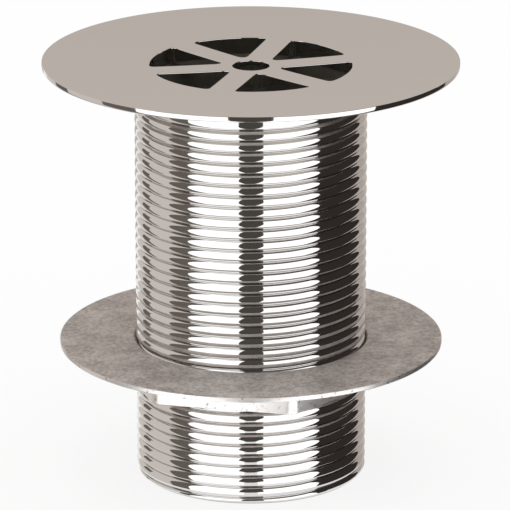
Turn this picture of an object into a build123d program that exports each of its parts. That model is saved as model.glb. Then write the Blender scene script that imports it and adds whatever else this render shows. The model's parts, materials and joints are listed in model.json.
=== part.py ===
"""Slotted sink waste: a flanged and threaded body with a grating across its mouth, and its back nut.

Millimetres, +Z up. The origin is the centre of the tail's lower end, on which the waste stands.
The front of the waste, as it is usually shown, faces -Y.
"""

import math
import os

from build123d import *

# Whole body
OVERALL_HEIGHT = 88.3
BORE_DIAMETER = 42.2

# Flange, with a dished top face
FLANGE_DIAMETER = 85.7
DISH_DEPTH = 1.3
RIM_HEIGHT = 1.2
RIM_ROUND = 0.5
SEAT_DIAMETER = 68.0
SEAT_BELOW_RIM = 1.8
NECK_FILLET = 1.5

# Tail: a wall round the bore, then a 1 1/2 inch pipe thread, 47.8 over its crests, 11 turns to the inch
TAIL_WALL = 1.321
THREAD_DEPTH = 1.479
THREAD_PITCH = 2.309

# Grating: straight ribs from a drilled hub
GRATING_THICKNESS = 3.0
SLOT_COUNT = 6
RIB_WIDTH = 5.4
SLOT_CORNER_ROUND = 1.2
SLOT_LEDGE = 0.3
RIB_TURN = 13.2
HUB_HOLE_DIAMETER = 7.6

# Back nut: a hexagon, 51.2 across its flats, under a round disc
NUT_TOP = 28.9
NUT_HEIGHT = 7.9
NUT_DISC_DIAMETER = 79.5
NUT_DISC_THICKNESS = 1.1
NUT_DISC_BEVEL = 0.25
NUT_WALL = 1.55
NUT_CORNER_ROUND = 2.7
NUT_TURN = -13.0
THREAD_CLEARANCE = 0.15

# Heights and radii that follow from these
bore_radius = BORE_DIAMETER / 2
flange_radius = FLANGE_DIAMETER / 2
crest_radius = bore_radius + TAIL_WALL + THREAD_DEPTH
nut_bore_radius = crest_radius + THREAD_CLEARANCE
flat_radius = nut_bore_radius + NUT_WALL
rim_bottom = OVERALL_HEIGHT - RIM_HEIGHT
seat_height = rim_bottom - SEAT_BELOW_RIM
dish_bottom = OVERALL_HEIGHT - DISH_DEPTH
grating_bottom = dish_bottom - GRATING_THICKNESS
slot_outer_radius = bore_radius - SLOT_LEDGE


def turned_body():
    """The body before its grating is pierced: flange, neck, tail and bore in one turning.

    The tail is as wide as the crests of its thread, and half the thread's depth is bevelled off its end.
    """
    rim_corner = (flange_radius, rim_bottom + RIM_ROUND)
    rim_under = (flange_radius - RIM_ROUND, rim_bottom)
    seat_edge = (SEAT_DIAMETER / 2, seat_height)
    seat_inside = (crest_radius + NECK_FILLET, seat_height)
    neck_top = (crest_radius, seat_height - NECK_FILLET)
    tail_corner = (crest_radius, THREAD_PITCH / 4)
    tail_end = (crest_radius - THREAD_DEPTH / 2, 0)
    with BuildSketch(Plane.XZ) as section:
        with BuildLine():
            TangentArc((0, dish_bottom), (flange_radius, OVERALL_HEIGHT), tangent=(1, 0))
            Line((flange_radius, OVERALL_HEIGHT), rim_corner)
            TangentArc(rim_corner, rim_under, tangent=(0, -1))
            Polyline(rim_under, seat_edge, seat_inside)
            TangentArc(seat_inside, neck_top, tangent=(-1, 0))
            Polyline(neck_top, tail_corner, tail_end, (bore_radius, 0), (bore_radius, grating_bottom))
            Polyline((bore_radius, grating_bottom), (0, grating_bottom), (0, dish_bottom))
        make_face()
    return revolve(section.sketch, Axis.Z)


def slot_outline():
    """One slot, pointing along +X: two straight sides along its ribs and an arc at its outer end."""
    half_angle = math.pi / SLOT_COUNT
    half_rib = RIB_WIDTH / 2
    along_rib = math.sqrt(slot_outer_radius**2 - half_rib**2)
    corner_x = along_rib * math.cos(half_angle) + half_rib * math.sin(half_angle)
    corner_y = along_rib * math.sin(half_angle) - half_rib * math.cos(half_angle)
    apex = (half_rib / math.sin(half_angle), 0)
    with BuildSketch() as outline:
        with BuildLine():
            Line(apex, (corner_x, -corner_y))
            ThreePointArc((corner_x, -corner_y), (slot_outer_radius, 0), (corner_x, corner_y))
            Line((corner_x, corner_y), apex)
        make_face()
        fillet(outline.vertices(), SLOT_CORNER_ROUND)
    return outline.sketch


def waste_body():
    """The turned body with its slots and its hub hole cut down through the grating."""
    first_slot = RIB_TURN + 180 / SLOT_COUNT
    height = OVERALL_HEIGHT - grating_bottom
    slot = extrude(slot_outline(), amount=height)
    hole = extrude(Circle(HUB_HOLE_DIAMETER / 2), amount=height)
    cutters = [hole]
    for number in range(SLOT_COUNT):
        cutters.append(Rot(Z=first_slot + number * 360 / SLOT_COUNT) * slot)
    body = turned_body()
    for cutter in cutters:
        body -= Pos(Z=grating_bottom) * cutter
    return body


def back_nut():
    """The nut: a hexagon with a thin disc on top, bored to clear the crests of the tail's thread."""
    hexagon_height = NUT_HEIGHT - NUT_DISC_THICKNESS
    hexagon = RegularPolygon(flat_radius, 6, major_radius=False, rotation=NUT_TURN)
    hexagon = fillet(hexagon.vertices(), NUT_CORNER_ROUND)
    disc = extrude(Circle(NUT_DISC_DIAMETER / 2), amount=NUT_DISC_THICKNESS)
    disc = chamfer(disc.edges().filter_by(GeomType.CIRCLE), NUT_DISC_BEVEL)
    nut = extrude(hexagon, amount=hexagon_height) + Pos(Z=hexagon_height) * disc
    nut -= extrude(Circle(nut_bore_radius), amount=NUT_HEIGHT)
    return Pos(Z=NUT_TOP - NUT_HEIGHT) * nut


os.makedirs("parts", exist_ok=True)
for name, piece in {"waste_body": waste_body(), "back_nut": back_nut()}.items():
    export_step(piece, f"parts/{name}.step")
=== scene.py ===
"""Slotted sink waste: a chrome body with a pipe thread and a pierced grating, and its cast back nut."""

import json
import math
from typing import NamedTuple, Optional

import bmesh
import bpy
from bpy.props import FloatProperty, FloatVectorProperty, IntProperty, PointerProperty
from mathutils import Matrix, Vector


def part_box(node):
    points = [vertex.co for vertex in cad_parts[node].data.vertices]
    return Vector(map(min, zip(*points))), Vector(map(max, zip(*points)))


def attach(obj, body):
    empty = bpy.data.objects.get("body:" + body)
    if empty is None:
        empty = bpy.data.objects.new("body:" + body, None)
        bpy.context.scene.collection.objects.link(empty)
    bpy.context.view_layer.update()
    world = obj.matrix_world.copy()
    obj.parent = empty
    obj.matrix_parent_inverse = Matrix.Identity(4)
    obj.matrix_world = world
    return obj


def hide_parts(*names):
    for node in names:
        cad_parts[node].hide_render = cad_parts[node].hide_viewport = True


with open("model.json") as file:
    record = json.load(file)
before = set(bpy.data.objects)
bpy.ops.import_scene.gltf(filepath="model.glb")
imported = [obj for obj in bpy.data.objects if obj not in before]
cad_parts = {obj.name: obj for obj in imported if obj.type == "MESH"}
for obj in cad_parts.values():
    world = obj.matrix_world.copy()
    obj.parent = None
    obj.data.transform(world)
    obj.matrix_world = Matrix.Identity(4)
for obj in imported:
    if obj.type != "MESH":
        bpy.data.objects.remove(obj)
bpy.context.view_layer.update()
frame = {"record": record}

bl_info = {
    "name": "Slotted Sink Waste",
    "version": (1, 0, 0),
    "blender": (4, 5, 0),
    "location": "View3D > Sidebar > Sink Waste",
    "description": "Builds a slotted sink waste and its back nut on their solids",
    "category": "Add Mesh",
}

MM = 0.001
BODY_LOW, BODY_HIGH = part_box("waste_body")
NUT_LOW, NUT_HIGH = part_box("back_nut")
MOUNTS = {mount["name"]: mount for mount in frame["record"]["mounts"]}

# The thread is buffed into low round ridges, with flanks 40 degrees off square to the axis
FLANK_ANGLE = math.radians(40)
SHARP_DEPTH_PER_PITCH = 0.5 / math.tan(FLANK_ANGLE)
FULL_TURN = 2 * math.pi
QUARTER_TURN = math.pi / 2

# How finely curves are divided
SLOT_ARC_STEPS = 8
SLOT_SIDE_CUTS = 7
CORNER_SEGMENTS = 4
EDGE_SEGMENTS = 3
NECK_SEGMENTS = 5
RIM_SEGMENTS = 5
DISH_ROWS = 14
HUB_SEGMENTS = 48
HEXAGON_SIDES = 6
HEXAGON_CORNER_SEGMENTS = 8
STAGE_SEGMENTS = 64

# Edges bent more than the angle stay sharp, and faces whose normal rises less than the share are upright
SHARP_ANGLE = math.radians(35)
UPRIGHT_RISE = 0.7

# The grating starts the margin outside the bore, and the arris breaks the flange's upper edge
MOUTH_MARGIN = 0.5 * MM
RIM_ARRIS = 0.05 * MM

# Points this near are one, lie at one height or lie on a cutting plane
WELD = 1e-3 * MM
SAME_HEIGHT = 1e-3 * MM
ON_PLANE = 1e-5 * MM

# The chrome is darkened with painted shade at the thread's roots up to the first height over them, and
# unshaded from the second
ROOT_SHADE_HEIGHT = 0.02 * MM
UNSHADED_HEIGHT = 0.09 * MM

FLOOR_RADIUS = 6.0
FLOOR_WHITENESS = 0.8
SKY_STRENGTH = 1.0

# Camera, as in a studio picture taken with a long lens
CAMERA_LENS = 331.17
CAMERA_DISTANCE = 973.15 * MM
CAMERA_RISE = math.radians(17.762)
CAMERA_AIM_HEIGHT = 46.26 * MM
CAMERA_SHIFT = 0.0081

# Studio cards round the object, seen only in its reflections
CARD_DISTANCE = 0.5
CARD_LIFT = 0.1 * MM
CARD_STEPS = 24
CARD_GAP = 2 * MM
EYE_HEIGHT = 55 * MM
BACK_GREY = (0.575, 0.52, 0.475)
LEFT_GREY = (0.70, 0.65, 0.61)
REAR_GREY = (0.48, 0.43, 0.40)
BLACK = (0.035, 0.028, 0.025)
DARK = (0.15, 0.13, 0.115)
BROWN = (0.14, 0.115, 0.095)
GAP = (0.075, 0.067, 0.06)
WHITE = (1.5, 1.5, 1.5)
CEILING_HEIGHT = 0.95
CEILING_RADIUS = 0.48
CEILING_OPENING = 0.22


class Card(NamedTuple):
    """A card between two bearings, in degrees from the camera and rightwards.

    It lies on the floor from near to far, measured from the tail's side, and stands at its far end between
    two elevations, in degrees. Without a near end it only stands, and without a top it only lies. Taper is
    the share of its width at the near end.
    """

    name: str
    first: float
    last: float
    colour: tuple
    near: Optional[float] = CARD_GAP
    far: float = CARD_DISTANCE
    low: Optional[float] = None
    top: Optional[float] = None
    taper: float = 1.0


CARDS = (
    Card("left_white", -64, -7, WHITE, top=64),
    Card("left_dark", -87, -64, DARK, top=70),
    Card("left_grey", -150, -87, LEFT_GREY, top=70),
    Card("back", 150, 210, BACK_GREY, top=17.5),
    Card("upper_back", 140, 220, BACK_GREY, near=None, low=17.5, top=70),
    Card("left_gap", -133, -118, DARK, near=0.07, far=0.45, top=12),
    Card("right_white", 7, 70, WHITE, top=38),
    Card("right_brown", 7, 70, BROWN, near=None, low=38, top=75),
    Card("right_black", 70, 132, BLACK, top=70),
    Card("right_rear", 132, 150, REAR_GREY, top=70),
    Card("front", -12, 12, GAP, near=0.15, far=0.45, top=75),
    Card("front_near", -12, 12, GAP, near=0.012, far=0.15, taper=0.35),
)


def mount_radius(name):
    """The radius of a round mount in the record, in metres."""
    return MOUNTS[name]["dims"]["r_mm"] * MM


def least_half_width(low, high):
    """The least distance from the axis to a side of a box, so that a round piece stays inside it."""
    return min(-low.x, -low.y, high.x, high.y)


class WasteBodySizes(bpy.types.PropertyGroup):
    """Sizes of the flanged and threaded body."""

    flange_radius: FloatProperty(
        name="Flange radius", description="Radius of the flange at its rim",
        default=least_half_width(BODY_LOW, BODY_HIGH), unit="LENGTH", precision=5)
    dish_depth: FloatProperty(
        name="Dish depth", description="How far the middle of the top face lies below its rim",
        default=1.3 * MM, unit="LENGTH", precision=5)
    rim_height: FloatProperty(
        name="Rim height", description="Height of the flange at its edge",
        default=1.2 * MM, unit="LENGTH", precision=5)
    rim_round: FloatProperty(
        name="Rim round", description="Radius of the rim's lower edge",
        default=0.5 * MM, unit="LENGTH", precision=5)
    seat_radius: FloatProperty(
        name="Seat radius", description="Outer radius of the flat seat under the flange",
        default=34 * MM, unit="LENGTH", precision=5)
    seat_height: FloatProperty(
        name="Seat height", description="Height of the flat seat under the flange",
        default=MOUNTS["flange_seat"]["pos_m"][2], unit="LENGTH", precision=5)
    neck_round: FloatProperty(
        name="Neck round", description="Radius of the fillet between the seat and the tail",
        default=1.5 * MM, unit="LENGTH", precision=5)
    bore_radius: FloatProperty(
        name="Bore radius", description="Radius of the water way inside the tail",
        default=mount_radius("tail_bore"), unit="LENGTH", precision=5)


class GratingSizes(bpy.types.PropertyGroup):
    """Sizes of the pierced grating in the flange's mouth."""

    slot_count: IntProperty(name="Slots", description="Number of slots round the hub", default=6, min=3)
    thickness: FloatProperty(
        name="Thickness", description="Thickness of the grating at the hub",
        default=MOUNTS["hub_hole"]["dims"]["length_mm"] * MM, unit="LENGTH", precision=5)
    rib_width: FloatProperty(
        name="Rib width", description="Width of each rib between two slots",
        default=5.4 * MM, unit="LENGTH", precision=5)
    slot_ledge: FloatProperty(
        name="Slot ledge", description="How far the slots' outer ends lie inside the bore",
        default=0.3 * MM, unit="LENGTH", precision=5)
    corner_round: FloatProperty(
        name="Corner round", description="Radius of the slots' corners",
        default=1.2 * MM, unit="LENGTH", precision=5)
    edge_round: FloatProperty(
        name="Edge round", description="Radius of the polished edges of slots and hub hole",
        default=0.14 * MM, unit="LENGTH", precision=5)
    hub_hole_radius: FloatProperty(
        name="Hub hole radius", description="Radius of the hole through the hub",
        default=mount_radius("hub_hole"), unit="LENGTH", precision=5)
    rib_turn: FloatProperty(
        name="Rib turn", description="Angle of the first rib from +X",
        default=math.radians(13.2), subtype="ANGLE")


class ThreadSizes(bpy.types.PropertyGroup):
    """Sizes of the pipe thread on the tail and in the nut."""

    crest_radius: FloatProperty(
        name="Crest radius", description="Radius over the crests of the tail's thread",
        default=mount_radius("tail_thread"), unit="LENGTH", precision=5)
    pitch: FloatProperty(
        name="Pitch", description="Rise of the thread in one turn",
        default=25.4 / 11 * MM, unit="LENGTH", precision=6)
    start: FloatProperty(
        name="Start", description="Height of the lowest whole crest on the +X side",
        default=0.76 * MM, unit="LENGTH", precision=5)
    crest_round: FloatProperty(
        name="Crest round", description="Radius of the thread's crests, which are buffed before plating",
        default=1.42 * MM, unit="LENGTH", precision=5)
    root_round: FloatProperty(
        name="Root round", description="Radius of the thread's roots",
        default=0.08 * MM, unit="LENGTH", precision=5)
    run_out: FloatProperty(
        name="Run-out", description="Length over which the thread fades out below the neck",
        default=1.5 * MM, unit="LENGTH", precision=5)
    end_bevel: FloatProperty(
        name="End bevel", description="How much the tail's end is bevelled off",
        default=0.74 * MM, unit="LENGTH", precision=5)
    nut_clearance: FloatProperty(
        name="Nut clearance", description="Gap between the tail's thread and the nut's",
        default=0.15 * MM, unit="LENGTH", precision=5)
    steps: IntProperty(name="Steps", description="Steps in one turn of the thread", default=128, min=24)
    crest_segments: IntProperty(
        name="Crest segments", description="Segments of each rounded crest", default=12, min=2)
    root_segments: IntProperty(
        name="Root segments", description="Segments of each rounded root", default=2, min=2)


class BackNutSizes(bpy.types.PropertyGroup):
    """Sizes of the back nut."""

    disc_radius: FloatProperty(
        name="Disc radius", description="Radius of the disc on top of the hexagon",
        default=least_half_width(NUT_LOW, NUT_HIGH), unit="LENGTH", precision=5)
    disc_thickness: FloatProperty(
        name="Disc thickness", description="Thickness of the disc",
        default=1.1 * MM, unit="LENGTH", precision=5)
    disc_round: FloatProperty(
        name="Disc round", description="Radius of the disc's edges",
        default=0.25 * MM, unit="LENGTH", precision=5)
    across_flats: FloatProperty(
        name="Across flats", description="Width of the hexagon from flat to flat",
        default=51.2 * MM, unit="LENGTH", precision=5)
    corner_round: FloatProperty(
        name="Corner round", description="Radius of the hexagon's corners",
        default=2.7 * MM, unit="LENGTH", precision=5)
    edge_round: FloatProperty(
        name="Edge round", description="Radius of the hexagon's lower edge",
        default=0.35 * MM, unit="LENGTH", precision=5)
    mouth_bevel: FloatProperty(
        name="Mouth bevel", description="How much the bore's two mouths are bevelled off",
        default=0.5 * MM, unit="LENGTH", precision=5)
    turn: FloatProperty(
        name="Turn", description="Angle of the hexagon's first corner from +X",
        default=math.radians(-13), subtype="ANGLE")


def sizes(context):
    """The scene's groups of sizes."""
    return context.scene.sink_waste


def all_parts(bm):
    """Every vertex, edge and face of a mesh."""
    return bm.verts[:] + bm.edges[:] + bm.faces[:]


def boundary_at(bm, height):
    """The open edges of a mesh that lie at one height."""
    return [edge for edge in bm.edges
            if edge.is_boundary and all(abs(vert.co.z - height) < SAME_HEIGHT for vert in edge.verts)]


def carry_rim(bm, rim, radius, height):
    """Extrudes a round rim and brings the new rim to a radius and a height."""
    grown = bmesh.ops.extrude_edge_only(bm, edges=rim)["geom"]
    verts = {item for item in grown if isinstance(item, bmesh.types.BMVert)}
    for vert in verts:
        outward = vert.co.xy.normalized() * radius
        vert.co = (outward.x, outward.y, height)
    return [item for item in grown
            if isinstance(item, bmesh.types.BMEdge) and all(vert in verts for vert in item.verts)]


def carry_round(bm, rim, centre, radius, first, last, segments):
    """Carries a rim along an arc in the section's plane, from the first angle to the last."""
    for step in range(1, segments + 1):
        angle = first + (last - first) * step / segments
        out, up = radius * math.cos(angle), radius * math.sin(angle)
        rim = carry_rim(bm, rim, centre[0] + out, centre[1] + up)
    return rim


def thread_root(thread):
    """Radius of the tail at the roots of its thread."""
    rounds = (thread.crest_round + thread.root_round) * (1 / math.sin(FLANK_ANGLE) - 1)
    return thread.crest_radius + rounds - thread.pitch * SHARP_DEPTH_PER_PITCH


def thread_tube(bm, thread, low, high, gap=0.0):
    """A helical thread from low to high, with whole crests and roots, and open at both ends.

    A gap above nought moves the whole surface outwards, as the thread of a nut lies round its bolt's.
    The wire's end crests stay sharp, so it starts two turns lower, and the turns below low are cut away.
    """
    pitch = thread.pitch
    sharp_depth = pitch * SHARP_DEPTH_PER_PITCH
    rounded_off = thread.crest_round * (1 / math.sin(FLANK_ANGLE) - 1)
    peak = thread.crest_radius + rounded_off + gap / math.sin(FLANK_ANGLE)
    valley = peak - sharp_depth
    turns_below = math.ceil((thread.start - low) / pitch) + 2
    bottom = thread.start - turns_below * pitch
    halves = 2 * (math.ceil((high - bottom) / pitch) + 1)
    wire = [bm.verts.new(((valley if half % 2 else peak), 0, bottom + half * pitch / 2))
            for half in range(halves + 1)]
    for pair in zip(wire, wire[1:]):
        bm.edges.new(pair)
    crests = (wire[2:-1:2], thread.crest_round, thread.crest_segments)
    roots = (wire[1:-1:2], thread.root_round, thread.root_segments)
    for corners, round_radius, segments in (crests, roots):
        bmesh.ops.bevel(bm, geom=corners, offset=round_radius / math.tan(FLANK_ANGLE), offset_type="OFFSET",
                        affect="VERTICES", segments=segments, profile=0.5, material=-1)
    bmesh.ops.spin(bm, geom=bm.verts[:] + bm.edges[:], cent=(0, 0, 0), axis=(0, 0, 1), angle=FULL_TURN,
                   dvec=(0, 0, pitch / thread.steps), steps=thread.steps, use_merge=False)
    bmesh.ops.remove_doubles(bm, verts=bm.verts, dist=WELD)
    bmesh.ops.bisect_plane(bm, geom=all_parts(bm), dist=ON_PLANE, plane_co=(0, 0, low), plane_no=(0, 0, 1),
                           clear_inner=True)


def set_radius(vert, radius):
    """Moves a vertex straight out from the axis or in towards it."""
    outward = vert.co.xy.normalized() * radius
    vert.co.x, vert.co.y = outward


def finish_tail(bm, thread, neck_height):
    """Fades the thread out below the neck, and bevels the tail's end."""
    crest = thread.crest_radius
    plain_from = neck_height - thread.pitch
    for vert in bm.verts:
        radius = vert.co.xy.length
        fade = (plain_from - vert.co.z) / thread.run_out
        depth = (crest - radius) * min(max(fade, 0.0), 1.0)
        end_radius = crest - thread.end_bevel + vert.co.z
        set_radius(vert, min(crest - depth, end_radius))
        vert.co.z = min(vert.co.z, neck_height)
    bmesh.ops.remove_doubles(bm, verts=bm.verts, dist=WELD)


def dish_height(body, radius):
    """Height of the dished top face at a distance from the axis."""
    top = BODY_HIGH.z
    ball = (body.flange_radius ** 2 + body.dish_depth ** 2) / (2 * body.dish_depth)
    return top - body.dish_depth + ball - math.sqrt(ball ** 2 - radius ** 2)


def add_flange(bm, body, crest_radius, mouth_radius):
    """Carries the neck's rim out under the flange, round its edge and over the dish to the grating."""
    neck_height = body.seat_height - body.neck_round
    rim_bottom = BODY_HIGH.z - body.rim_height
    round_radius = body.rim_round
    round_centre = (body.flange_radius - round_radius, rim_bottom + round_radius)
    rim = boundary_at(bm, neck_height)
    rim = carry_round(bm, rim, (crest_radius + body.neck_round, neck_height), body.neck_round,
                      math.pi, QUARTER_TURN, NECK_SEGMENTS)
    rim = carry_rim(bm, rim, body.seat_radius, body.seat_height)
    rim = carry_rim(bm, rim, body.flange_radius - round_radius, rim_bottom)
    rim = carry_round(bm, rim, round_centre, round_radius, -QUARTER_TURN, 0, RIM_SEGMENTS)
    rim = carry_rim(bm, rim, body.flange_radius, BODY_HIGH.z - RIM_ARRIS)
    for row in range(DISH_ROWS + 1):
        radius = body.flange_radius - RIM_ARRIS
        radius += (mouth_radius - radius) * row / DISH_ROWS
        rim = carry_rim(bm, rim, radius, dish_height(body, radius))


def slot_rim(bm, grating, outer_radius, spread):
    """The outline of one slot, pointing along +X and widened all round by spread, at height nought."""
    others = set(bm.edges)
    half_angle = math.pi / grating.slot_count
    half_rib = grating.rib_width / 2 - spread
    outer = outer_radius + spread
    rib_angle = math.asin(half_rib / outer)
    corner_angle = half_angle - rib_angle
    corner = bm.verts.new((outer * math.cos(corner_angle), -outer * math.sin(corner_angle), 0))
    arc = bmesh.ops.spin(bm, geom=[corner], cent=(0, 0, 0), axis=(0, 0, 1), angle=2 * corner_angle,
                         steps=SLOT_ARC_STEPS, use_merge=False)
    far_corner = arc["geom_last"][0]
    apex = bm.verts.new((half_rib / math.sin(half_angle), 0, 0))
    bm.edges.new((corner, apex))
    bm.edges.new((apex, far_corner))
    rounding = grating.corner_round + spread
    corners = {math.pi / 4 + rib_angle / 2: [corner, far_corner], half_angle: [apex]}
    for half_corner, verts in corners.items():
        bmesh.ops.bevel(bm, geom=verts, offset=rounding / math.tan(half_corner), offset_type="OFFSET",
                        affect="VERTICES", segments=CORNER_SEGMENTS, profile=0.5, material=-1)
    sides = sorted(set(bm.edges) - others, key=lambda edge: edge.calc_length())[-2:]
    bmesh.ops.subdivide_edges(bm, edges=sides, cuts=SLOT_SIDE_CUTS)
    return [edge for edge in bm.edges if edge not in others]


def edge_rows(edge_round):
    """Spread and drop of each row of a rounded edge, from the face it starts on down to the wall."""
    angles = [QUARTER_TURN * step / EDGE_SEGMENTS for step in range(EDGE_SEGMENTS + 1)]
    return [(edge_round * (1 - math.sin(angle)), edge_round * (1 - math.cos(angle))) for angle in angles]


def grating_walls(body, grating, bottom):
    """A mesh of the walls of all slots and of the hub hole, open at their upper and lower rims."""
    bm = bmesh.new()
    above = None
    for spread, drop in edge_rows(grating.edge_round) + [(0, None)]:
        rim = slot_rim(bm, grating, body.bore_radius - grating.slot_ledge, spread)
        for vert in {vert for edge in rim for vert in edge.verts}:
            vert.co.z = bottom if drop is None else dish_height(body, vert.co.xy.length) - drop
        if above:
            bmesh.ops.bridge_loops(bm, edges=above + rim)
        above = rim
    first_turn = grating.rib_turn + math.pi / grating.slot_count
    bmesh.ops.rotate(bm, verts=bm.verts, cent=(0, 0, 0), matrix=Matrix.Rotation(first_turn, 3, "Z"))
    steps = grating.slot_count - 1
    bmesh.ops.spin(bm, geom=all_parts(bm), cent=(0, 0, 0), axis=(0, 0, 1),
                   angle=FULL_TURN * steps / grating.slot_count, steps=steps, use_duplicate=True)
    rows = [(grating.hub_hole_radius + spread, drop) for spread, drop in edge_rows(grating.edge_round)]
    hub = bmesh.ops.create_circle(bm, segments=HUB_SEGMENTS, radius=rows[0][0],
                                  matrix=Matrix.Translation((0, 0, dish_height(body, rows[0][0]))))
    rim = list({edge for vert in hub["verts"] for edge in vert.link_edges})
    for radius, drop in rows[1:]:
        rim = carry_rim(bm, rim, radius, dish_height(body, radius) - drop)
    carry_rim(bm, rim, grating.hub_hole_radius, bottom)
    for edge in bm.edges:
        edge.smooth = abs(edge.verts[0].co.z - edge.verts[1].co.z) > edge.calc_length() / 2
    return bm


def join_mesh(bm, other):
    """Adds a second mesh's geometry to the first, and frees the second."""
    mesh = bpy.data.meshes.new("joined")
    other.to_mesh(mesh)
    other.free()
    bm.from_mesh(mesh)
    bpy.data.meshes.remove(mesh)


def fill_between(bm, rims):
    """Closes the face between an outer rim and the rims inside it."""
    bmesh.ops.triangle_fill(bm, edges=rims, use_beauty=True, normal=(0, 0, 1))


def waste_mesh(groups):
    """The whole body in one closed mesh: chrome outside; dull in the bore and unpolished under the flange,
    both with painted shade.
    """
    body, grating, thread = groups.body, groups.grating, groups.thread
    grating_bottom = dish_height(body, 0) - grating.thickness
    neck_height = body.seat_height - body.neck_round
    bm = bmesh.new()
    thread_tube(bm, thread, BODY_LOW.z, neck_height)
    finish_tail(bm, thread, neck_height)
    add_flange(bm, body, thread.crest_radius, body.bore_radius + MOUTH_MARGIN)
    end = carry_rim(bm, boundary_at(bm, BODY_LOW.z), body.bore_radius, BODY_LOW.z)
    carry_rim(bm, end, body.bore_radius, grating_bottom)
    join_mesh(bm, grating_walls(body, grating, grating_bottom))
    fill_between(bm, boundary_at(bm, grating_bottom))
    fill_between(bm, [edge for edge in bm.edges if edge.is_boundary])
    inside = body.bore_radius + WELD
    rim_bottom = BODY_HIGH.z - body.rim_height
    below = grating_bottom + WELD
    for face in bm.faces:
        low_inside = all(vert.co.xy.length < inside and vert.co.z < below for vert in face.verts)
        middle = face.calc_center_median()
        under_flange = neck_height < middle.z < rim_bottom and middle.xy.length > thread.crest_radius
        face.material_index = 1 if low_inside else 2 if under_flange else 0
    return bm


def hexagon_rim(bm, across_flats, corner_round, turn, height):
    """A hexagon with rounded corners, at one height. Blender's circles start a quarter turn on from +X."""
    others = set(bm.edges)
    place = Matrix.Translation((0, 0, height)) @ Matrix.Rotation(turn - QUARTER_TURN, 4, "Z")
    half_side_angle = math.pi / HEXAGON_SIDES
    corner_radius = across_flats / 2 / math.cos(half_side_angle)
    corners = bmesh.ops.create_circle(bm, segments=HEXAGON_SIDES, radius=corner_radius, matrix=place)["verts"]
    bmesh.ops.bevel(bm, geom=corners, offset=corner_round * math.tan(half_side_angle), offset_type="OFFSET",
                    affect="VERTICES", segments=HEXAGON_CORNER_SEGMENTS, profile=0.5, material=-1)
    return [edge for edge in bm.edges if edge not in others]


def nut_mesh(groups):
    """The back nut in one closed mesh: as cast, but machined on its upright outer faces."""
    nut, thread = groups.nut, groups.thread
    bottom, top = NUT_LOW.z, NUT_HIGH.z
    disc_bottom = top - nut.disc_thickness
    bm = bmesh.new()
    thread_tube(bm, thread, bottom, top, thread.nut_clearance)
    bmesh.ops.bisect_plane(bm, geom=all_parts(bm), dist=ON_PLANE, plane_co=(0, 0, top), plane_no=(0, 0, 1),
                           clear_outer=True)
    mouth_radius = thread.crest_radius + nut.mouth_bevel
    for vert in bm.verts:
        from_mouth = min(vert.co.z - bottom, top - vert.co.z)
        set_radius(vert, max(vert.co.xy.length, mouth_radius - from_mouth))
    bmesh.ops.remove_doubles(bm, verts=bm.verts, dist=WELD)
    edge_round = nut.disc_round
    edge_centre = nut.disc_radius - edge_round
    rim = carry_rim(bm, boundary_at(bm, top), edge_centre, top)
    rim = carry_round(bm, rim, (edge_centre, top - edge_round), edge_round, QUARTER_TURN, 0, EDGE_SEGMENTS)
    rim = carry_rim(bm, rim, nut.disc_radius, disc_bottom + edge_round)
    carry_round(bm, rim, (edge_centre, disc_bottom + edge_round), edge_round, 0, -QUARTER_TURN, EDGE_SEGMENTS)
    below = None
    rows = [(spread, bottom + drop) for spread, drop in edge_rows(nut.edge_round)]
    for inset, height in rows + [(0, disc_bottom)]:
        rim = hexagon_rim(bm, nut.across_flats - 2 * inset, nut.corner_round - inset, nut.turn, height)
        if below:
            bmesh.ops.bridge_loops(bm, edges=below + rim)
        below = rim
    fill_between(bm, boundary_at(bm, disc_bottom))
    fill_between(bm, [edge for edge in bm.edges if edge.is_boundary])
    bm.normal_update()
    outside = nut.across_flats / 2 - nut.edge_round
    for face in bm.faces:
        upright = abs(face.normal.z) < UPRIGHT_RISE
        face.material_index = int(upright and face.calc_center_median().xy.length > outside)
    return bm


class Value:
    """A shader socket that takes part in Python sums. Each sum adds a Math node."""

    def __init__(self, finish, socket):
        self.finish = finish
        self.socket = socket

    def math(self, operation, other, flipped=False):
        """A Math node on this value and another, or the other way round."""
        first, second = (other, self) if flipped else (self, other)
        return self.finish.node("ShaderNodeMath", {"operation": operation}, {0: first, 1: second})

    def __add__(self, other):
        return self.math("ADD", other)

    __radd__ = __add__

    def __sub__(self, other):
        return self.math("SUBTRACT", other)

    def __rsub__(self, other):
        return self.math("SUBTRACT", other, flipped=True)

    def __mul__(self, other):
        return self.math("MULTIPLY", other)

    __rmul__ = __mul__


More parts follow.
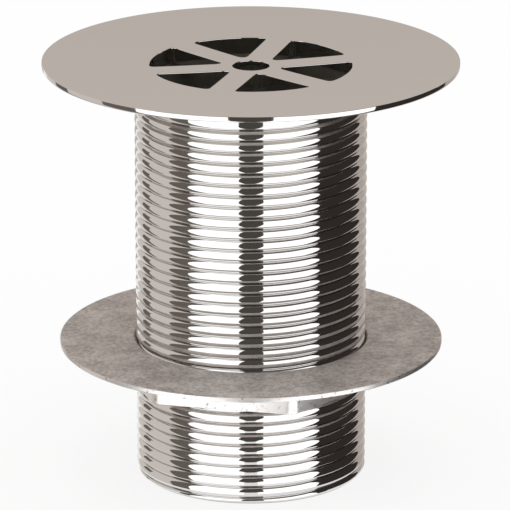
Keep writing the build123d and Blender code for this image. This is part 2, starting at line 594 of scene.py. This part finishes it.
class Finish:
    """A material and the nodes that make it."""

    def __init__(self, name):
        self.material = bpy.data.materials.new(name)
        self.material.use_nodes = True
        self.tree = self.material.node_tree
        self.shader = self.tree.nodes["Principled BSDF"]
        self.place = self.node("ShaderNodeTexCoord", {}, {}, "Object")

    def node(self, kind, settings, inputs, output=0):
        """Adds a node, sets it up, feeds its sockets and gives one of its outputs as a value."""
        node = self.tree.nodes.new(kind)
        for name, setting in settings.items():
            setattr(node, name, setting)
        for name, source in inputs.items():
            self.feed(node.inputs[name], source)
        return Value(self, node.outputs[output])

    def outputs(self, kind, inputs, names):
        """Adds a node, feeds its sockets and gives its named outputs as values."""
        made = self.node(kind, {}, inputs).socket.node
        return [Value(self, made.outputs[name]) for name in names]

    def feed(self, socket, source):
        """Links a value to a socket, or sets the socket to a plain number or colour."""
        if isinstance(source, Value):
            self.tree.links.new(source.socket, socket)
        else:
            socket.default_value = source

    def set(self, **inputs):
        """Feeds sockets of the material's own shader, named with underscores for spaces."""
        for name, source in inputs.items():
            self.feed(self.shader.inputs[name.replace("_", " ")], source)

    def show(self, shader):
        """Shows another shader in place of the material's own."""
        self.feed(self.tree.nodes["Material Output"].inputs["Surface"], shader)

    def noise(self, scale, detail=2.0, roughness=0.5):
        """Noise of so many cells to the metre, about nought to one."""
        return self.node("ShaderNodeTexNoise", {}, {"Vector": self.place, "Scale": scale, "Detail": detail,
                                                    "Roughness": roughness}, "Fac")

    def rise(self, value, low, high):
        """A smooth step from nought at the low end to one at the high end."""
        return self.node("ShaderNodeMapRange", {"interpolation_type": "SMOOTHSTEP"},
                         {"Value": value, "From Min": low, "From Max": high})

    def mix(self, factor, first, second):
        """Two colours mixed by a factor."""
        return self.node("ShaderNodeMix", {"data_type": "RGBA"}, {"Factor": factor, 6: first, 7: second}, 2)

    def bump(self, height, strength, distance):
        """A normal bent by a height."""
        return self.node("ShaderNodeBump", {}, {"Height": height, "Strength": strength, "Distance": distance})


def shade(colour, share=1.0):
    """A colour darkened to a share of itself, with the alpha that a colour socket takes."""
    return (*(channel * share for channel in colour), 1)


def chrome_finish(colours, thread, neck_height):
    """Polished chrome plate, very slightly uneven, with painted shade darkening the roots of the thread."""
    finish = Finish("polished_chrome")
    wave = finish.noise(90)
    across, along, height = finish.outputs("ShaderNodeSeparateXYZ", {"Vector": finish.place}, "XYZ")
    radius = (across * across + along * along).math("POWER", 0.5)
    from_root = radius - thread_root(thread)
    above_neck = height.math("GREATER_THAN", neck_height)
    # Painted shade: the chrome's colour falls to 0.6 of itself in the thread's roots, below the neck
    unshaded = finish.rise(from_root, ROOT_SHADE_HEIGHT, UNSHADED_HEIGHT).math("MAXIMUM", above_neck)
    finish.set(Base_Color=finish.mix(unshaded, shade(colours.chrome, 0.6), shade(colours.chrome)), Metallic=1.0,
               Roughness=0.03 + 0.04 * wave)
    return finish.material


def underside_finish(colours):
    """Plate under the flange, rough as it was never polished, with its colour darkened as painted shade under
    the flange.
    """
    finish = Finish("unpolished_plate")
    cloud = finish.noise(160, 4)
    finish.set(Base_Color=finish.mix(cloud, shade(colours.underside, 0.7), shade(colours.underside)),
               Metallic=1.0, Roughness=0.4 + 0.15 * cloud)
    return finish.material


def bore_finish(colours):
    """The dull inside of the tail, left as it was cast, with its colour made very dark as painted shade in
    the bore.
    """
    finish = Finish("dull_bore")
    patch = finish.noise(180, 4)
    finish.set(Base_Color=finish.mix(patch, shade(colours.bore, 0.6), shade(colours.bore)), Metallic=0.4,
               Roughness=0.7)
    return finish.material


def cast_finish(colours):
    """Bare cast metal of the nut: clouded, grainy and finely pitted."""
    finish = Finish("mottled_casting")
    cloud = finish.noise(170, 6, 0.65)
    grain = finish.noise(1300, 3)
    pit = finish.rise(finish.noise(2300, 2), 0.64, 0.72)
    tone = finish.rise(cloud * 0.55 + grain * 0.45, 0.36, 0.64)
    clouded = finish.mix(tone, shade(colours.casting, 0.55), shade(colours.casting))
    finish.set(Base_Color=finish.mix(pit, clouded, shade(colours.casting, 0.275)), Metallic=0.55,
               Roughness=0.4 + 0.2 * cloud, Normal=finish.bump(tone - pit, 0.3, 0.1 * MM))
    return finish.material


def machined_finish(colours):
    """The nut's hexagon and rim, which are machined bright but keep some grain."""
    finish = Finish("machined_casting")
    grain = finish.noise(1100, 4, 0.6)
    speck = finish.rise(finish.noise(800, 4, 0.7), 0.56, 0.70)
    finish.set(Base_Color=finish.mix(speck, shade(colours.machined), shade(colours.machined, 0.45)),
               Metallic=1.0, Roughness=0.28 + 0.25 * grain, Normal=finish.bump(grain, 0.35, 0.08 * MM))
    return finish.material


class FinishColours(bpy.types.PropertyGroup):
    """Colours of the finishes and of the floor."""

    chrome: FloatVectorProperty(
        name="Chrome", description="Colour of the chrome plate", subtype="COLOR", size=3,
        default=(0.76, 0.75, 0.74), min=0, max=1)
    # The underside's colour is darker than the chrome's, as painted shade under the flange
    underside: FloatVectorProperty(
        name="Underside", description="Colour of the unpolished plate under the flange", subtype="COLOR",
        size=3, default=(0.58, 0.54, 0.50), min=0, max=1)
    # The bore's colour is made very dark as painted shade inside the tail
    bore: FloatVectorProperty(
        name="Bore", description="Colour of the dull metal inside the tail", subtype="COLOR", size=3,
        default=(0.22, 0.20, 0.165), min=0, max=1)
    casting: FloatVectorProperty(
        name="Casting", description="Colour of the nut's bare cast metal", subtype="COLOR", size=3,
        default=(0.66, 0.60, 0.565), min=0, max=1)
    machined: FloatVectorProperty(
        name="Machined", description="Colour of the nut's machined hexagon and rim", subtype="COLOR", size=3,
        default=(0.86, 0.84, 0.82), min=0, max=1)
    floor: FloatVectorProperty(
        name="Floor", description="Colour of the floor", subtype="COLOR", size=3,
        default=(0.96, 0.96, 0.96), min=0, max=1)


class SinkWasteSettings(bpy.types.PropertyGroup):
    """All sizes and colours of the sink waste."""

    body: PointerProperty(type=WasteBodySizes)
    grating: PointerProperty(type=GratingSizes)
    thread: PointerProperty(type=ThreadSizes)
    nut: PointerProperty(type=BackNutSizes)
    colours: PointerProperty(type=FinishColours)


def add_piece(name, bm, finishes, body, node):
    """Makes an object of a closed mesh, which rides on a body in place of its solid."""
    bmesh.ops.recalc_face_normals(bm, faces=bm.faces)
    open_edges = sum(not edge.is_manifold for edge in bm.edges)
    if open_edges:
        raise RuntimeError(f"{name} has {open_edges} open edges")
    for face in bm.faces:
        face.smooth = True
    for edge in bm.edges:
        edge.smooth = edge.smooth and edge.calc_face_angle() < SHARP_ANGLE
    mesh = bpy.data.meshes.new(name)
    bm.to_mesh(mesh)
    bm.free()
    for finish in finishes:
        mesh.materials.append(finish)
    piece = bpy.data.objects.new(name, mesh)
    bpy.context.scene.collection.objects.link(piece)
    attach(piece, body)
    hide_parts(node)


class SINKWASTE_OT_body(bpy.types.Operator):
    """Make the flanged body with its thread and its grating"""

    bl_idname = "sink_waste.body"
    bl_label = "Waste Body"

    def execute(self, context):
        groups = sizes(context)
        neck_height = groups.body.seat_height - groups.body.neck_round
        finishes = [chrome_finish(groups.colours, groups.thread, neck_height), bore_finish(groups.colours),
                    underside_finish(groups.colours)]
        add_piece("threaded_waste", waste_mesh(groups), finishes, "waste", "waste_body")
        return {"FINISHED"}


class SINKWASTE_OT_nut(bpy.types.Operator):
    """Make the back nut with its disc and its hexagon"""

    bl_idname = "sink_waste.nut"
    bl_label = "Back Nut"

    def execute(self, context):
        groups = sizes(context)
        finishes = [cast_finish(groups.colours), machined_finish(groups.colours)]
        add_piece("flanged_back_nut", nut_mesh(groups), finishes, "nut", "back_nut")
        return {"FINISHED"}


def glow(name, colour):
    """A material that only glows, in one colour."""
    finish = Finish(name)
    finish.show(finish.node("ShaderNodeEmission", {}, {"Color": shade(colour)}))
    return finish.material


def add_stage_piece(name, bm, material):
    """Makes an object of the stage."""
    mesh = bpy.data.meshes.new(name)
    bm.to_mesh(mesh)
    bm.free()
    mesh.materials.append(material)
    piece = bpy.data.objects.new(name, mesh)
    bpy.context.scene.collection.objects.link(piece)
    return piece


def add_card(name, bm, colour):
    """Makes a studio card, which is seen in reflections alone."""
    card = add_stage_piece("card_" + name, bm, glow(name, colour))
    card.visible_camera = card.visible_diffuse = card.visible_shadow = False


def card_point(crest_radius, bearing, reach, height):
    """A point of a card. A mirror turns a ray by twice its own turn, so a ray starts at half its bearing."""
    leave, turn = math.radians(bearing / 2), math.radians(bearing)
    return Vector((crest_radius * math.sin(leave) + reach * math.sin(turn),
                   -crest_radius * math.cos(leave) - reach * math.cos(turn), height))


def card_section(card):
    """The (reach, height) points of a card's section. Later cards lie a little higher on the floor."""
    def height(elevation):
        return EYE_HEIGHT + card.far * math.tan(math.radians(elevation))

    lift = CARD_LIFT * (1 + CARDS.index(card))
    section = [] if card.near is None else [(card.near, lift)]
    section.append((card.far, lift if card.low is None else height(card.low)))
    if card.top is not None:
        section.append((card.far, height(card.top)))
    return section


def card_sheet(crest_radius, card):
    """A grid bent to a card's section, from its first bearing to its last."""
    section = card_section(card)
    rows = len(section) - 1
    bm = bmesh.new()
    bmesh.ops.create_grid(bm, x_segments=CARD_STEPS, y_segments=rows, size=0.5)
    middle = (card.first + card.last) / 2
    for vert in bm.verts:
        row = round((vert.co.y + 0.5) * rows)
        span = (card.last - card.first) * (1.0 if row else card.taper)
        vert.co = card_point(crest_radius, middle + span * vert.co.x, *section[row])
    return bm


def add_cards(crest_radius):
    """The ring of cards, and over it a dark ceiling with a grey middle."""
    for card in CARDS:
        add_card(card.name, card_sheet(crest_radius, card), card.colour)
    overhead = Matrix.Translation((0, 0, CEILING_HEIGHT))
    ceiling = bmesh.new()
    bmesh.ops.create_circle(ceiling, segments=STAGE_SEGMENTS, radius=CEILING_OPENING, matrix=overhead)
    carry_rim(ceiling, ceiling.edges[:], CEILING_RADIUS, CEILING_HEIGHT)
    add_card("ceiling", ceiling, GAP)
    middle = bmesh.new()
    bmesh.ops.create_circle(middle, cap_ends=True, segments=STAGE_SEGMENTS, radius=CEILING_OPENING,
                            matrix=overhead)
    add_card("ceiling_middle", middle, BACK_GREY)


def add_floor(colour):
    """A wide white floor, which keeps a soft share of the object's shadow."""
    finish = Finish("floor")
    finish.set(Base_Color=shade(colour), Roughness=0.9, Specular_IOR_Level=0.1)
    direct, mirrored, through = finish.outputs(
        "ShaderNodeLightPath", {}, ("Is Camera Ray", "Is Glossy Ray", "Is Transmission Ray"))
    seen = direct + mirrored + through
    white = finish.node("ShaderNodeEmission", {}, {"Color": (1, 1, 1, 1)})
    own = Value(finish, finish.shader.outputs[0])
    finish.show(finish.node("ShaderNodeMixShader", {}, {0: seen * FLOOR_WHITENESS, 1: own, 2: white}))
    bm = bmesh.new()
    bmesh.ops.create_circle(bm, cap_ends=True, segments=STAGE_SEGMENTS, radius=FLOOR_RADIUS)
    add_stage_piece("floor", bm, finish.material)


def set_sky(scene):
    """An even white sky."""
    scene.world = bpy.data.worlds.new("studio")
    scene.world.use_nodes = True
    background = scene.world.node_tree.nodes["Background"]
    background.inputs["Color"].default_value = (1, 1, 1, 1)
    background.inputs["Strength"].default_value = SKY_STRENGTH


def add_camera(scene):
    """A camera in front of the object, looking a little down."""
    lens = bpy.data.cameras.new("camera")
    lens.lens = CAMERA_LENS
    lens.shift_x = CAMERA_SHIFT
    camera = bpy.data.objects.new("camera", lens)
    back = Vector((0, -math.cos(CAMERA_RISE), math.sin(CAMERA_RISE)))
    camera.location = Vector((0, 0, CAMERA_AIM_HEIGHT)) + back * CAMERA_DISTANCE
    camera.rotation_euler = (QUARTER_TURN - CAMERA_RISE, 0, 0)
    scene.collection.objects.link(camera)
    scene.camera = camera


class SINKWASTE_OT_stage(bpy.types.Operator):
    """Set the floor, the studio cards, the sky and the camera"""

    bl_idname = "sink_waste.stage"
    bl_label = "Stage"

    def execute(self, context):
        add_floor(sizes(context).colours.floor)
        set_sky(context.scene)
        add_cards(sizes(context).thread.crest_radius)
        add_camera(context.scene)
        context.scene.view_settings.view_transform = "Standard"
        return {"FINISHED"}


class SINKWASTE_PT_panel(bpy.types.Panel):
    """Lists the steps that build the sink waste, and its sizes and colours"""

    bl_idname = "SINKWASTE_PT_panel"
    bl_label = "Sink Waste"
    bl_space_type = "VIEW_3D"
    bl_region_type = "UI"
    bl_category = "Sink Waste"

    def draw(self, context):
        for step in STEPS:
            self.layout.operator(step.bl_idname)
        groups = sizes(context)
        for title in SinkWasteSettings.__annotations__:
            group = getattr(groups, title)
            box = self.layout.box()
            box.label(text=title.capitalize())
            for name in type(group).__annotations__:
                box.prop(group, name)


STEPS = (SINKWASTE_OT_body, SINKWASTE_OT_nut, SINKWASTE_OT_stage)
GROUPS = (WasteBodySizes, GratingSizes, ThreadSizes, BackNutSizes, FinishColours, SinkWasteSettings)
CLASSES = GROUPS + STEPS + (SINKWASTE_PT_panel,)


def register():
    """Makes the classes and the settings known to Blender."""
    for item in CLASSES:
        bpy.utils.register_class(item)
    bpy.types.Scene.sink_waste = PointerProperty(type=SinkWasteSettings)


def unregister():
    """Takes the settings and the classes away again."""
    del bpy.types.Scene.sink_waste
    for item in reversed(CLASSES):
        bpy.utils.unregister_class(item)


def main():
    """Builds every piece and the stage."""
    register()
    bpy.ops.sink_waste.body()
    bpy.ops.sink_waste.nut()
    bpy.ops.sink_waste.stage()


if __name__ == "__main__":
    main()
